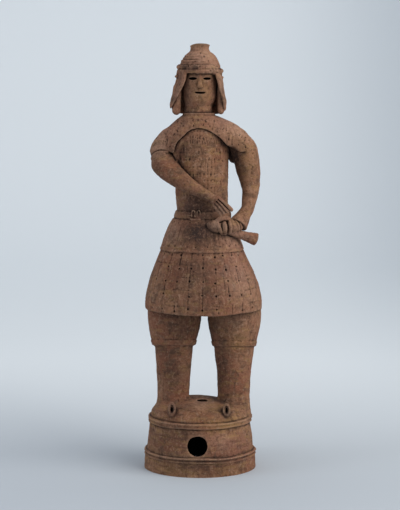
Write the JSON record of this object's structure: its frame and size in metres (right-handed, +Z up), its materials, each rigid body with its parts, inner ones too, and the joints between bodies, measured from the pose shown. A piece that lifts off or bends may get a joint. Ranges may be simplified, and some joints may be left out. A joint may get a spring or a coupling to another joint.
{
  "type": "haniwa figure",
  "caption": "Hollow fired-clay figure of an armoured warrior, a hand on the sword at the hip, standing on its own drum.",
  "frame": {"origin": "on the floor, under the middle of the figure's bounding box, 7 mm to +X of the drum's axis", "axes": "+Z up along the figure's height, the figure faces -Y, its own left hand and the sword are towards +X"},
  "size_m": [0.3494, 0.335, 1.25],
  "materials": {
    "fired_clay": "matte, unglazed, mottled and worn"
  },
  "bodies": {
    "root": {"haniwa_figure": "fired_clay"}
  },
  "joints": []
}
